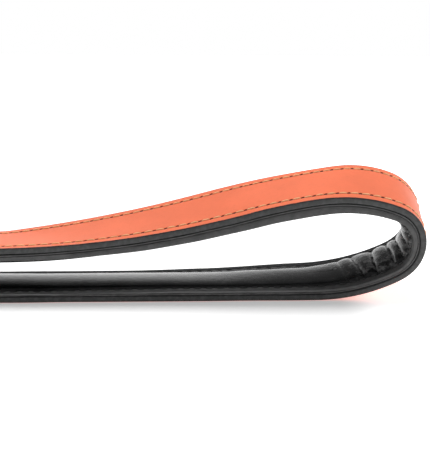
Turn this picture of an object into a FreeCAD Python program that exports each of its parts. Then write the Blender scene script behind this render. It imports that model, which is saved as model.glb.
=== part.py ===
"""Training leash with a padded leather hand loop, a flat strap wound into a coil and a swivel bolt snap.

Frame: +Z up, +X from the strap towards the bend of the hand loop, +Y across the strap.
The origin is under the middle of the hand loop, on the surface that the loop lies on.
"""

import FreeCAD, Part
import Sketcher
import math
import os

Vector = FreeCAD.Vector

doc = FreeCAD.newDocument("training_leash")

# ---------------------------------------------------------------- driving dimensions
DIMENSIONS = {
    # leather layers of the hand loop, from the outside in
    "strap_width": 25.0,
    "strap_thick": 2.2,
    "backing_thick": 0.9,
    "flange_thick": 1.0,
    "pad_rise": 3.6,
    "pad_edge_rise": 0.9,
    "cover_thick": 1.2,
    "pad_half_width": 8.6,
    "flange_width": 3.3,
    # stitched rows
    "row_inset": 3.3,
    "thread_width": 0.7,
    "groove_width": 0.8,
    "groove_depth": 0.5,
    # the loop's lower run and where its layers start
    "lower_run_near": 203.5,
    "lower_run_far": 196.9,
    "flat_run": 190.0,
    "pad_start": 78.0,
    "joint_length": 35.0,
    "glue_gap": 0.1,
    # rivets
    "rivet_radius": 1.6,
    "cap_radius": 4.5,
    "cap_height": 1.2,
    "base_thick": 0.8,
    "rivet_first": 9.0,
    "rivet_second": 26.0,
    # the strap's coil on the table
    "leash_thick": 3.1,
    "coil_x": -226.0,
    "coil_outer": 92.0,
    "coil_inner": 80.0,
    "tail_radius": 30.0,
    "tail_straight": 6.0,
    # the sewn end and the bolt snap
    "end_width": 15.0,
    "end_layer": 2.3,
    "end_length": 22.0,
    "end_neck": 10.0,
    "end_rivet_inset": 7.0,
    "end_cap_radius": 3.6,
    "end_cap_height": 1.0,
    "end_seam_margin": 3.0,
    "end_seam_height": 0.3,
    "wire_radius": 1.7,
    "wire_gap": 0.2,
    "eye_length": 10.6,
    "eye_height": 21.0,
    "stem_radius": 2.2,
    "stem_gap": 0.06,
    "stem_head": 3.6,
    "collar_radius": 5.4,
    "barrel_radius": 4.8,
    "barrel_length": 22.0,
    "bolt_rise": 3.5,
    "bolt_radius": 2.3,
    "bolt_gap": 0.05,
    "bolt_travel": 7.0,
    "bow_radius": 2.6,
    "bow_drop": 8.6,
    "stud_radius": 1.4,
    "spring_wire": 0.35,
}

sheet = doc.addObject("Spreadsheet::Sheet", "Dimensions")
for row, (alias, value) in enumerate(DIMENSIONS.items(), start=1):
    sheet.set(f"A{row}", alias)
    sheet.set(f"B{row}", str(value))
    sheet.setAlias(f"B{row}", alias)
doc.recompute()


def size(alias):
    """A driving dimension as it stands in the sheet."""
    return float(sheet.get(alias))


# Bends of the loop after its lower run: turn in degrees, radius at the near and the far edge.
# A positive turn bends towards the inside of the loop.
LOOP_BENDS = [
    (27.3, 65.5, 86.5),
    (131.3, 14.2, 17.2),
    (29.5, 56.6, 44.7),
    (7.1, 197.7, 390.2),
    (-7.7, 341.7, 546.8),
    (-6.5, 341.7, 60.0),
    (10.0, 90.0, 60.0),
]
# The last two turns bring the upper run down onto the lower one; their radii follow from that.
CLOSING_TURNS = [10.0, -21.0]

nodes = {}


def keep(label, feature):
    """Registers a finished sub-part under its node name."""
    feature.Label = label
    nodes[label] = feature
    return feature


# ---------------------------------------------------------------- the loop's path
def inward(heading):
    """Unit vector from the strap's outer face towards the inside of the loop."""
    return (-math.sin(heading), math.cos(heading))


def arc_step(heading, turn):
    """How far an arc of radius 1 moves along X and Z."""
    side = math.copysign(1.0, turn)
    before = inward(heading)
    after = inward(heading + turn)
    return (side * (before[0] - after[0]), side * (before[1] - after[1]))


def bends_at(share):
    """All bends at a share of the width, 0 at the near edge and 1 at the far edge."""
    bends = [(math.radians(t), near + (far - near) * share) for t, near, far in LOOP_BENDS]
    run = size("lower_run_near") + (size("lower_run_far") - size("lower_run_near")) * share
    along, height, heading = run, 0.0, 0.0
    for turn, radius in bends:
        step = arc_step(heading, turn)
        along += radius * step[0]
        height += radius * step[1]
        heading += turn
    joint_top = 2 * (size("strap_thick") + size("backing_thick")) + size("glue_gap")
    wanted = (size("joint_length") - along, joint_top - height)
    first, second = [math.radians(t) for t in CLOSING_TURNS]
    a = arc_step(heading, first)
    b = arc_step(heading + first, second)
    spread = a[0] * b[1] - a[1] * b[0]
    radius_a = (wanted[0] * b[1] - wanted[1] * b[0]) / spread
    radius_b = (a[0] * wanted[1] - a[1] * wanted[0]) / spread
    return run, bends + [(first, radius_a), (second, radius_b)]


def loop_span():
    """Length of the loop from the strap's left end to the outside of its bend."""
    run, bends = bends_at(1.0)
    first_turn, first_radius = bends[0]
    return run + first_radius * arc_step(0.0, first_turn)[0] + bends[1][1] * (1 - math.sin(first_turn))


LEFT = -loop_span() / 2


def path_edges(share, depth, start, bend_count, end):
    """Edges of the loop's path at a depth below the outer face, from x = start.

    bend_count bends are followed, and then a straight run of length end, if there is one.
    """
    width = size("strap_width")
    y = (share - 0.5) * width
    run, bends = bends_at(share)

    def place(x, z, heading):
        n = inward(heading)
        return Vector(x + depth * n[0], y, z + depth * n[1])

    x, z, heading = LEFT + run, 0.0, 0.0
    edges = [Part.LineSegment(place(start, 0.0, 0.0), place(x, z, heading)).toShape()]
    for turn, radius in bends[:bend_count]:
        half = arc_step(heading, turn / 2)
        whole = arc_step(heading, turn)
        begin = place(x, z, heading)
        middle = place(x + radius * half[0], z + radius * half[1], heading + turn / 2)
        x += radius * whole[0]
        z += radius * whole[1]
        heading += turn
        edges.append(Part.Arc(begin, middle, place(x, z, heading)).toShape())
    if end:
        edges.append(Part.LineSegment(place(x, z, heading), place(x - end, z, heading)).toShape())
    return edges


def section(share, outer, inner, start, bend_count, end):
    """Closed outline of a layer in the plane across one place of the width."""
    low = path_edges(share, outer, start, bend_count, end)
    high = path_edges(share, inner, start, bend_count, end)
    close_end = Part.LineSegment(low[-1].lastVertex(True).Point, high[-1].lastVertex(True).Point)
    close_start = Part.LineSegment(high[0].firstVertex(True).Point, low[0].firstVertex(True).Point)
    return Part.Wire(low + [close_end.toShape()] + high[::-1] + [close_start.toShape()])


def layer(name, stations, start, bend_count, end):
    """A leather layer: stations are (y, outer depth, inner depth) across the width.

    Its flat run is pushed out of one outline, and its curved part is lofted across the width.
    """
    width = size("strap_width")
    flat_end = LEFT + size("flat_run")
    wires = [section(y / width + 0.5, a, b, flat_end, bend_count, end) for y, a, b in stations]
    outline = [Vector(start, y, a) for y, a, b in stations]
    outline += [Vector(start, y, b) for y, a, b in reversed(stations)]
    face = Part.Face(Part.makePolygon(outline + outline[:1]))
    flat = face.extrude(Vector(flat_end - start, 0, 0))
    feature = doc.addObject("Part::Feature", name)
    feature.Shape = flat.fuse(Part.makeLoft(wires, True, True)).removeSplitter()
    return feature


half_width = size("strap_width") / 2
strap_in = size("strap_thick")
backing_in = strap_in + size("backing_thick")
flange_in = backing_in + size("flange_thick")
ALL_BENDS = len(LOOP_BENDS) + len(CLOSING_TURNS)
PAD_BENDS = len(LOOP_BENDS)
joint_end = size("joint_length")
pad_from = LEFT + size("pad_start")
row_y = half_width - size("row_inset")
groove = size("groove_width") / 2
wall = 0.1


def strap_stations():
    """The outer strap's section, with a sunk groove for each stitched row."""
    depth = size("groove_depth")
    stations = [(-half_width, 0.0, strap_in)]
    for middle in (-row_y, row_y):
        for y, a in ((-groove - wall, 0), (-groove, depth), (groove, depth), (groove + wall, 0)):
            stations.append((middle + y, a, strap_in))
    return stations + [(half_width, 0.0, strap_in)]


strap_blank = layer("strap_blank", strap_stations(), LEFT, ALL_BENDS, joint_end)
backing_blank = layer(
    "backing_blank",
    [(-half_width, strap_in, backing_in), (half_width, strap_in, backing_in)],
    LEFT, ALL_BENDS, joint_end,
)

for side, middle in (("near", -row_y), ("far", row_y)):
    reach = size("thread_width") / 2
    sunk = size("groove_depth")
    stations = [(middle - reach, 0.05, sunk), (middle + reach, 0.05, sunk)]
    keep(f"stitch_row_{side}", layer(f"row_{side}", stations, LEFT + 2, ALL_BENDS, joint_end - 2))


# ---------------------------------------------------------------- padding and lining
def crown(share):
    """Height of the pad above the backing, at a share of its half width."""
    return size("pad_edge_rise") + (size("pad_rise") - size("pad_edge_rise")) * (1 - share**2) ** 0.5


CROWN_SHARES = [-1.0, -0.9, -0.6, 0.0, 0.6, 0.9, 1.0]
pad_half = size("pad_half_width")
pad_rows = [(s * pad_half, backing_in, backing_in + crown(abs(s))) for s in CROWN_SHARES]
keep("handle_pad", layer("pad", pad_rows, pad_from, PAD_BENDS, 0))

cover = size("cover_thick")
flange_y = half_width - size("flange_width")
lining_rows = [(-half_width, backing_in, flange_in), (-flange_y, backing_in, flange_in)]
lining_rows += [(y, top, top + cover) for y, bottom, top in pad_rows]
lining_rows += [(flange_y, backing_in, flange_in), (half_width, backing_in, flange_in)]
keep("handle_lining", layer("lining", lining_rows, pad_from, PAD_BENDS, 0))


# ---------------------------------------------------------------- primitives bound to the sheet
def cylinder(name, radius, height, base, axis):
    """A Part cylinder; radius and height are expressions on the sheet, axis its direction."""
    feature = doc.addObject("Part::Cylinder", name)
    feature.setExpression("Radius", radius)
    feature.setExpression("Height", height)
    turn = FreeCAD.Rotation(Vector(0, 0, 1), axis)
    feature.Placement = FreeCAD.Placement(base, turn)
    return feature


def group(kind, name, members):
    """A Part boolean or compound of several features."""
    feature = doc.addObject(kind, name)
    if kind == "Part::Compound":
        feature.Links = members
    else:
        feature.Shapes = members
    return feature


def cut(name, base, tool):
    """base less tool."""
    feature = doc.addObject("Part::Cut", name)
    feature.Base = base
    feature.Tool = tool
    return feature


UP = Vector(0, 0, 1)
ALONG = Vector(1, 0, 0)
ACROSS = Vector(0, 1, 0)
stack = 2 * backing_in + size("glue_gap")

# ---------------------------------------------------------------- the riveted and sewn joint
rivet_x = [LEFT + size("rivet_first"), LEFT + size("rivet_second")]
SHEET = "Dimensions."
stack_words = f"2 * ({SHEET}strap_thick + {SHEET}backing_thick) + {SHEET}glue_gap"
holes = []
recesses = []
posts = []
bases = []
caps = []
for index, x in enumerate(rivet_x, start=1):
    foot = Vector(x, 0, 0)
    head = Vector(x, 0, stack)
    above_base = Vector(x, 0, size("base_thick"))
    holes.append(cylinder(f"hole_{index}", f"{SHEET}rivet_radius", f"{stack_words} + 2", foot, UP))
    recesses.append(
        cylinder(f"recess_{index}", f"{SHEET}cap_radius", f"{SHEET}base_thick", foot, UP)
    )
    bases.append(cylinder(f"base_{index}", f"{SHEET}cap_radius", f"{SHEET}base_thick", foot, UP))
    post_words = f"{stack_words} - {SHEET}base_thick"
    posts.append(cylinder(f"post_{index}", f"{SHEET}rivet_radius", post_words, above_base, UP))
    caps.append(cylinder(f"cap_{index}", f"{SHEET}cap_radius", f"{SHEET}cap_height", head, UP))

strap_tools = group("Part::MultiFuse", "strap_tools", holes + recesses)
keep("handle_strap", cut("strap_cut", strap_blank, strap_tools))
backing_holes = group("Part::MultiFuse", "backing_holes", holes)
keep("handle_backing", cut("backing_cut", backing_blank, backing_holes))
keep("joint_rivet_posts", group("Part::Compound", "posts", posts))
keep("joint_rivet_bases", group("Part::Compound", "bases", bases))

rounded_caps = []
for index, plain in enumerate(caps, start=1):
    dome = doc.addObject("Part::Fillet", f"dome_{index}")
    dome.Base = plain
    doc.recompute()
    rim = [
        number
        for number, edge in enumerate(plain.Shape.Edges, start=1)
        if edge.BoundBox.ZMin > stack + size("cap_height") - 0.01
    ]
    dome.Edges = [(number, 0.9, 0.9) for number in rim]
    rounded_caps.append(dome)
keep("joint_rivet_caps", group("Part::Compound", "caps", rounded_caps))


def bar(name, length, width, height, corner):
    """A plain box with its lowest corner at corner; its sides are expressions."""
    feature = doc.addObject("Part::Box", name)
    feature.setExpression("Length", length)
    feature.setExpression("Width", width)
    feature.setExpression("Height", height)
    feature.Placement = FreeCAD.Placement(corner, FreeCAD.Rotation())
    return feature


seam_x = [LEFT + 3.0, LEFT + joint_end - 4.0]
thread = f"{SHEET}thread_width"
bars = [
    bar(f"seam_{index}", thread, f"{SHEET}strap_width - 11", "0.35", Vector(x, 5.5 - half_width, stack))
    for index, x in enumerate(seam_x, start=1)
]
keep("joint_stitching", group("Part::Compound", "seams", bars))

# ---------------------------------------------------------------- the flat strap on the table
coil_centre = Vector(size("coil_x"), size("coil_outer"), 0)
exit_height = stack - backing_in / 2

# Middle of the strap from the joint to the coil, and how far it has turned onto its edge.
RUN_ROUTE = [
    (LEFT, exit_height, 0.0),
    (LEFT - 16, 4.4, 8.0),
    (LEFT - 32, 6.3, 20.0),
    (LEFT - 48, 9.6, 38.0),
    (LEFT - 64, 12.0, 58.0),
    (LEFT - 80, 12.7, 78.0),
    (size("coil_x") + 8, 12.5, 90.0),
]


def strap_section(x, z, twist):
    """The strap's rectangle across X, turned onto its edge by twist degrees."""
    half_thick = size("leash_thick") / 2
    corners = [(-half_width, -half_thick), (half_width, -half_thick)]
    corners += [(half_width, half_thick), (-half_width, half_thick)]
    angle = math.radians(twist)
    points = []
    for wide, thick in corners:
        y = wide * math.cos(angle) - thick * math.sin(angle)
        rise = wide * math.sin(angle) + thick * math.cos(angle)
        points.append(Vector(x, y, z + rise))
    return Part.makePolygon(points + points[:1])


run = doc.addObject("Part::Feature", "run")
run.Shape = Part.makeLoft([strap_section(*place) for place in RUN_ROUTE], True, True)
keep("leash_run", run)
route_length = sum(
    math.dist(a[:2], b[:2]) for a, b in zip(RUN_ROUTE, RUN_ROUTE[1:])
)
section_area = size("strap_width") * size("leash_thick")
fullness = run.Shape.Volume / (section_area * route_length)
print("leash_run volume over section times length:", round(fullness, 3))

ring_words = f"{SHEET}coil_outer + {SHEET}leash_thick / 2"
core_words = f"{SHEET}coil_inner - {SHEET}leash_thick / 2"
ring_outside = cylinder("ring_outside", ring_words, f"{SHEET}strap_width", coil_centre, UP)
ring_inside = cylinder("ring_inside", core_words, f"{SHEET}strap_width", coil_centre, UP)
keep("leash_coil", cut("coil_ring", ring_outside, ring_inside))

# The inner end of the coil curls on a smaller circle until it points along +X.
curl = size("tail_radius")
inner_turn = size("coil_inner")
curl_back = math.sqrt((inner_turn - curl) ** 2 - curl**2)
curl_centre = coil_centre + Vector(-curl_back, -curl, 0)
curl_start = math.pi + math.atan2(curl, curl_back)
tail_end = curl_centre + Vector(size("tail_straight"), curl, 0)


def curl_point(radius, angle):
    """A point of a circle about the curl's centre."""
    return curl_centre + Vector(radius * math.cos(angle), radius * math.sin(angle), 0)


tail_edges = []
half_thick = size("leash_thick") / 2
curl_middle = (curl_start + math.pi / 2) / 2
outer_top = curl_point(curl + half_thick, math.pi / 2)
inner_top = curl_point(curl - half_thick, math.pi / 2)
outer_arc = Part.Arc(
    curl_point(curl + half_thick, curl_start), curl_point(curl + half_thick, curl_middle), outer_top
)
inner_arc = Part.Arc(
    inner_top, curl_point(curl - half_thick, curl_middle), curl_point(curl - half_thick, curl_start)
)
outer_end = tail_end + Vector(0, half_thick, 0)
inner_end = tail_end - Vector(0, half_thick, 0)
tail_outline = Part.Wire([
    outer_arc.toShape(),
    Part.LineSegment(outer_top, outer_end).toShape(),
    Part.LineSegment(outer_end, inner_end).toShape(),
    Part.LineSegment(inner_end, inner_top).toShape(),
    inner_arc.toShape(),
    Part.LineSegment(
        curl_point(curl - half_thick, curl_start), curl_point(curl + half_thick, curl_start)
    ).toShape(),
])
tail = doc.addObject("Part::Feature", "tail")
tail.Shape = Part.Face(tail_outline).extrude(Vector(0, 0, size("strap_width")))
keep("leash_tail", tail)

# ---------------------------------------------------------------- the sewn end round the eye
bar_place = tail_end + Vector(size("end_length"), 0, half_width)


def plane(body, role):
    """One of a body's own origin planes."""
    return next(f for f in body.Origin.OriginFeatures if f.Role == role)


def sketch(body, name, role, offset=0.0):
    """A sketch on one of the body's origin planes."""
    made = body.newObject("Sketcher::SketchObject", name)
    made.AttachmentSupport = [(plane(body, role), "")]
    made.MapMode = "FlatFace"
    made.AttachmentOffset = FreeCAD.Placement(Vector(0, 0, offset), FreeCAD.Rotation())
    return made


def body_at(name, place):
    """An empty body whose origin is at place."""
    made = doc.addObject("PartDesign::Body", name)
    made.Placement = FreeCAD.Placement(place, FreeCAD.Rotation())
    return made


NORMAL = Vector(0, 0, 1)


def add_circle(made, x, y, radius_words):
    """A circle whose radius is bound to the sheet."""
    index = made.addGeometry(Part.Circle(Vector(x, y, 0), NORMAL, 1.0))
    number = made.addConstraint(Sketcher.Constraint("Radius", index, 1.0))
    made.setExpression(f"Constraints[{number}]", radius_words)
    return index


def add_polygon(made, points):
    """Closed straight outline."""
    for a, b in zip(points, points[1:] + points[:1]):
        made.addGeometry(Part.LineSegment(Vector(*a, 0), Vector(*b, 0)))


def pad(body, name, profile, length_words, middle=False):
    """Pads a sketch by a length bound to the sheet."""
    made = body.newObject("PartDesign::Pad", name)
    made.Profile = profile
    made.setExpression("Length", length_words)
    made.Midplane = middle
    profile.Visibility = False
    return made


def end_outline():
    """Outline of the two strap layers and their turn round the wire, seen from above."""
    layer_thick = size("end_layer")
    bore = size("wire_radius") + size("wire_gap")
    outside = bore + layer_thick
    back = -size("end_length")
    neck = -size("end_neck")
    touch = math.pi / 2 + math.atan2(outside - layer_thick, -neck)
    top = (outside * math.cos(touch), outside * math.sin(touch))
    return outside, back, neck, layer_thick, top


end_body = body_at("end_body", bar_place)
outside, back, neck, layer_thick, top = end_outline()
end_sketch = sketch(end_body, "end_sketch", "XY_Plane")
end_sketch.addGeometry(
    Part.Arc(Vector(top[0], -top[1], 0), Vector(outside, 0, 0), Vector(top[0], top[1], 0))
)
for a, b in (
    ((top[0], top[1]), (neck, layer_thick)),
    ((neck, layer_thick), (back, layer_thick)),
    ((back, layer_thick), (back, -layer_thick)),
    ((back, -layer_thick), (neck, -layer_thick)),
    ((neck, -layer_thick), (top[0], -top[1])),
):
    end_sketch.addGeometry(Part.LineSegment(Vector(*a, 0), Vector(*b, 0)))
add_circle(end_sketch, 0, 0, f"{SHEET}wire_radius + {SHEET}wire_gap")
pad(end_body, "end_pad", end_sketch, f"{SHEET}end_width", True)
doc.recompute()

rivet_place = bar_place + Vector(back + size("end_rivet_inset"), 0, 0)
one_layer = Vector(0, layer_thick, 0)
end_bore = f"{SHEET}rivet_radius"
end_hole = cylinder(
    "end_hole", end_bore, f"4 * {SHEET}end_layer", rivet_place - one_layer - one_layer, ACROSS
)
keep("end_loop", cut("end_cut", end_body, end_hole))
end_post = cylinder("end_post", end_bore, f"2 * {SHEET}end_layer", rivet_place - one_layer, ACROSS)
keep("end_rivet_post", end_post)
cap_words = (f"{SHEET}end_cap_radius", f"{SHEET}end_cap_height")
cap_depth = Vector(0, size("end_cap_height"), 0)
end_caps = [
    cylinder("end_cap_far", *cap_words, rivet_place + one_layer, ACROSS),
    cylinder("end_cap_near", *cap_words, rivet_place - one_layer - cap_depth, ACROSS),
]
keep("end_rivet_caps", group("Part::Compound", "end_caps", end_caps))
end_seams = []
seam_length = f"{SHEET}end_width - 2 * {SHEET}end_seam_margin"
seam_z = size("end_seam_margin") - size("end_width") / 2
for index, x in enumerate((back + 1.6, neck - 0.6), start=1):
    for side, y in (("far", layer_thick), ("near", -layer_thick - size("end_seam_height"))):
        seam_name = f"end_seam_{side}_{index}"
        seam_corner = bar_place + Vector(x, y, seam_z)
        end_seams.append(bar(seam_name, thread, f"{SHEET}end_seam_height", seam_length, seam_corner))
keep("end_stitching", group("Part::Compound", "end_seams", end_seams))

# ---------------------------------------------------------------- swivel eye
eye_length = size("eye_length")
eye_half = size("eye_height") / 2
corner = 2.2
eye_body = body_at("eye_body", bar_place)
eye_path = sketch(eye_body, "eye_path", "XZ_Plane")
round_middle = corner * (1 - math.sqrt(0.5))
flat = eye_half - corner
eye_path.addGeometry(Part.LineSegment(Vector(0, -flat, 0), Vector(0, flat, 0)))
eye_path.addGeometry(Part.Arc(
    Vector(0, flat, 0), Vector(round_middle, eye_half - round_middle, 0), Vector(corner, eye_half, 0)
))
far_x = eye_length - corner
eye_path.addGeometry(Part.LineSegment(Vector(corner, eye_half, 0), Vector(far_x, eye_half, 0)))
eye_path.addGeometry(Part.Arc(
    Vector(far_x, eye_half, 0),
    Vector(eye_length - round_middle, eye_half - round_middle, 0),
    Vector(eye_length, flat, 0),
))
eye_path.addGeometry(Part.LineSegment(Vector(eye_length, flat, 0), Vector(eye_length, -flat, 0)))
eye_path.addGeometry(Part.Arc(
    Vector(eye_length, -flat, 0),
    Vector(eye_length - round_middle, round_middle - eye_half, 0),
    Vector(far_x, -eye_half, 0),
))
eye_path.addGeometry(Part.LineSegment(Vector(far_x, -eye_half, 0), Vector(corner, -eye_half, 0)))
eye_path.addGeometry(Part.Arc(
    Vector(corner, -eye_half, 0), Vector(round_middle, round_middle - eye_half, 0), Vector(0, -flat, 0)
))
eye_section = sketch(eye_body, "eye_section", "XY_Plane")
add_circle(eye_section, 0, 0, f"{SHEET}wire_radius")
doc.recompute()
eye_pipe = eye_body.newObject("PartDesign::AdditivePipe", "eye_pipe")
eye_pipe.Profile = eye_section
eye_pipe.Spine = (eye_path, [])
eye_section.Visibility = False
doc.recompute()


def stud_along(body, name, start, radius_words, length_words, height=0.0, side=0.0):
    """Pads a round stud along +X from x = start."""
    made = sketch(body, f"{name}_sketch", "YZ_Plane", start)
    add_circle(made, side, height, radius_words)
    return pad(body, name, made, length_words)


STEM_LENGTH = 8.0
HEAD_THICK = 1.8
stud_along(eye_body, "stem", eye_length, f"{SHEET}stem_radius", str(STEM_LENGTH))
head_start = eye_length + STEM_LENGTH - HEAD_THICK
stud_along(eye_body, "stem_head", head_start, f"{SHEET}stem_head", str(HEAD_THICK))
keep("swivel_eye", eye_body)

# ---------------------------------------------------------------- snap hook body
COLLAR_START = eye_length + size("wire_radius") + 0.5
SOCKET_START = head_start - 0.2
SOCKET_LENGTH = HEAD_THICK + 0.4
BARREL_START = SOCKET_START + SOCKET_LENGTH + 0.8
barrel_end = BARREL_START + size("barrel_length")
bolt_z = size("bolt_rise")
bow_z = -size("bow_drop")
tip_x = barrel_end + 12.5
bow_x = tip_x + 4.0
bow_turn = (bolt_z - bow_z) / 2
BORE_START = BARREL_START + 3.0

hook = body_at("hook_shell", bar_place)
stud_along(
    hook, "collar", COLLAR_START, f"{SHEET}collar_radius", str(BARREL_START + 3 - COLLAR_START)
)
stud_along(
    hook, "barrel", BARREL_START, f"{SHEET}barrel_radius", f"{SHEET}barrel_length", bolt_z
)
bow_path = sketch(hook, "bow_path", "XZ_Plane")
root_x = barrel_end - 7.0
root_z = bolt_z - 3.0
knee_x = barrel_end + 2.0
KNEE_RADIUS = 5.0
root = Vector(root_x, root_z - 2.0, 0)
knee = Vector(knee_x, bow_z, 0)
slope = (knee - root).normalize()
knee_reach = KNEE_RADIUS * math.tan(math.atan2(-slope.y, slope.x) / 2)
knee_begin = knee - slope * knee_reach
knee_end = knee + Vector(knee_reach, 0, 0)
knee_centre = knee_end + Vector(0, KNEE_RADIUS, 0)
knee_middle = knee_centre + (knee - knee_centre).normalize() * KNEE_RADIUS
bow_path.addGeometry(Part.LineSegment(root, knee_begin))
bow_path.addGeometry(Part.Arc(knee_begin, knee_middle, knee_end))
bow_path.addGeometry(Part.LineSegment(knee_end, Vector(bow_x, bow_z, 0)))
bow_path.addGeometry(Part.Arc(
    Vector(bow_x, bow_z, 0),
    Vector(bow_x + bow_turn, bow_z + bow_turn, 0),
    Vector(bow_x, bolt_z, 0),
))
bow_path.addGeometry(Part.LineSegment(Vector(bow_x, bolt_z, 0), Vector(tip_x, bolt_z, 0)))
bow_section = sketch(hook, "bow_section", "YZ_Plane", tip_x)
add_circle(bow_section, 0, bolt_z, f"{SHEET}bow_radius")
doc.recompute()
bow = hook.newObject("PartDesign::AdditivePipe", "bow")
bow.Profile = bow_section
bow.Spine = (bow_path, [])
bow.Transition = "Round corner"
bow_section.Visibility = False
doc.recompute()


def bore_along(body, name, start, radius_words, length_words, height=0.0):
    """Cuts a round bore along +X from x = start, and checks that it removed something."""
    made = sketch(body, f"{name}_sketch", "YZ_Plane", start)
    add_circle(made, 0, height, radius_words)
    before = body.Shape.Volume
    pocket = body.newObject("PartDesign::Pocket", name)
    pocket.Profile = made
    pocket.setExpression("Length", length_words)
    pocket.Reversed = True
    made.Visibility = False
    doc.recompute()
    assert body.Shape.Volume < before - 0.5, name
    return pocket


stem_bore_length = str(SOCKET_START - COLLAR_START + 1.5)
bore_along(
    hook, "stem_bore", COLLAR_START - 1, f"{SHEET}stem_radius + {SHEET}stem_gap", stem_bore_length
)
bore_along(hook, "socket", SOCKET_START, f"{SHEET}stem_head + 0.2", str(SOCKET_LENGTH))
bore_length = f"{SHEET}barrel_length - 3 + 1"
bore_along(hook, "bolt_bore", BORE_START, f"{SHEET}bolt_radius + {SHEET}bolt_gap", bore_length, bolt_z)

stud_x = barrel_end - 5.0
slot_half = size("stud_radius") + 0.2
slot_sketch = sketch(hook, "slot_sketch", "XY_Plane", bolt_z)
slot_from = stud_x - size("bolt_travel") - slot_half
slot_to = stud_x + slot_half
add_polygon(slot_sketch, [
    (slot_from, -slot_half), (slot_to, -slot_half), (slot_to, slot_half), (slot_from, slot_half)
])
before_slot = hook.Shape.Volume
slot = hook.newObject("PartDesign::Pocket", "stud_slot")
slot.Profile = slot_sketch
slot.Length = 8.0
slot.Reversed = True
slot_sketch.Visibility = False
doc.recompute()
assert hook.Shape.Volume < before_slot - 0.5, "stud_slot"
keep("hook_body", hook)

# ---------------------------------------------------------------- bolt, stud and spring
SPRING_LENGTH = 8.5
bolt_start = BORE_START + SPRING_LENGTH
bolt_end = tip_x - 0.3
bolt_body = body_at("bolt_body", bar_place)
stud_along(bolt_body, "rod", bolt_start, f"{SHEET}bolt_radius", str(bolt_end - bolt_start), bolt_z)
stud_hole = sketch(bolt_body, "stud_hole_sketch", "XY_Plane", bolt_z)
add_circle(stud_hole, stud_x, 0, f"{SHEET}stud_radius")
doc.recompute()
before_hole = bolt_body.Shape.Volume
hole = bolt_body.newObject("PartDesign::Pocket", "stud_hole")
hole.Profile = stud_hole
hole.Length = 3.0
hole.Reversed = True
stud_hole.Visibility = False
doc.recompute()
assert bolt_body.Shape.Volume < before_hole - 0.5, "stud_hole"
keep("latch_bolt", bolt_body)

stud_body = body_at("stud_body", bar_place)
stud_sketch = sketch(stud_body, "stud_sketch", "XY_Plane", bolt_z)
add_circle(stud_sketch, stud_x, 0, f"{SHEET}stud_radius")
STUD_HEIGHT = 6.4
pad(stud_body, "stud_pin", stud_sketch, str(STUD_HEIGHT))
knob_sketch = sketch(stud_body, "knob_sketch", "XY_Plane", bolt_z + size("barrel_radius") + 0.3)
add_circle(knob_sketch, stud_x, 0, f"{SHEET}stud_radius + 1.1")
KNOB_HEIGHT = 2.6
pad(stud_body, "knob", knob_sketch, str(KNOB_HEIGHT))
doc.recompute()
keep("thumb_stud", stud_body)

spring_radius = size("bolt_radius") - size("spring_wire") - 0.1
TURNS = 7
helix_height = SPRING_LENGTH - 2 * size("spring_wire") - 0.2
helix = Part.makeHelix(helix_height / TURNS, helix_height, spring_radius)
wire_section = Part.Wire([Part.Circle(
    Vector(spring_radius, 0, 0), Vector(0, 1, 0), size("spring_wire")
).toShape()])
coil = Part.Wire(helix.Edges).makePipeShell([wire_section], True, True)
spring = doc.addObject("Part::Feature", "spring")
coil.rotate(Vector(0, 0, 0), Vector(0, 1, 0), 90)
coil.translate(bar_place + Vector(BORE_START + size("spring_wire") + 0.1, 0, bolt_z))
spring.Shape = coil
keep("bolt_spring", spring)

# ---------------------------------------------------------------- check and export
doc.recompute()
for feature in doc.Objects:
    assert "Invalid" not in feature.State and "Error" not in feature.State, feature.Label
for label, feature in nodes.items():
    shape = feature.Shape
    assert not shape.isNull() and shape.isValid(), label
    box = shape.BoundBox
    limits = [round(v, 2) for v in (box.XMin, box.XMax, box.YMin, box.YMax, box.ZMin, box.ZMax)]
    print(label, "solids", len(shape.Solids), "volume", round(shape.Volume, 1), "box", limits)

os.makedirs("parts", exist_ok=True)
for label, feature in nodes.items():
    feature.Shape.exportStep(os.path.join("parts", label + ".step"))
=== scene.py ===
"""Training leash: padded leather hand loop, flat stitched strap in a coil, swivel bolt snap."""

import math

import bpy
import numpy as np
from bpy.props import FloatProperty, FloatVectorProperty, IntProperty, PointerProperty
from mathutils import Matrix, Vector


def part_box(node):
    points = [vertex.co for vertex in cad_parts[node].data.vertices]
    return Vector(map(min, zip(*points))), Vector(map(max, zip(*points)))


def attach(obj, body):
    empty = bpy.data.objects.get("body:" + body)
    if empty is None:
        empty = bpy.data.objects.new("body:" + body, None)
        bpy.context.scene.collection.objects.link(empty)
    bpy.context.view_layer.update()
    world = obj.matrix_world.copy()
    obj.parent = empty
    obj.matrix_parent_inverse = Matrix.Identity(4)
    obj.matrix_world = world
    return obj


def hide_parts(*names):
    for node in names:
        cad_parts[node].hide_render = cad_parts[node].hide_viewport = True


bl_info = {
    "name": "Training Leash",
    "version": (1, 0, 0),
    "blender": (4, 5, 0),
    "location": "3D View > Sidebar > Leash",
    "description": "Builds a padded leather training leash around its frame",
    "category": "Add Mesh",
}

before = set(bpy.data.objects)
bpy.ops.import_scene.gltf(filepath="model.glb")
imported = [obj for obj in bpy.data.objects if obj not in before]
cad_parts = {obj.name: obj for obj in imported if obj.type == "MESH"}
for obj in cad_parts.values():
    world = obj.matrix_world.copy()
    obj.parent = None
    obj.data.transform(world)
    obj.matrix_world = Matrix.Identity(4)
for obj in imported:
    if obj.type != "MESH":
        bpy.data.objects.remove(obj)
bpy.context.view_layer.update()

MM = 0.001
COIL_LOW, COIL_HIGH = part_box("leash_coil")
COIL_X = (COIL_LOW.x + COIL_HIGH.x) / 2
COIL_Y = (COIL_LOW.y + COIL_HIGH.y) / 2
END_LOW, END_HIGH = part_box("end_loop")
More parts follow.
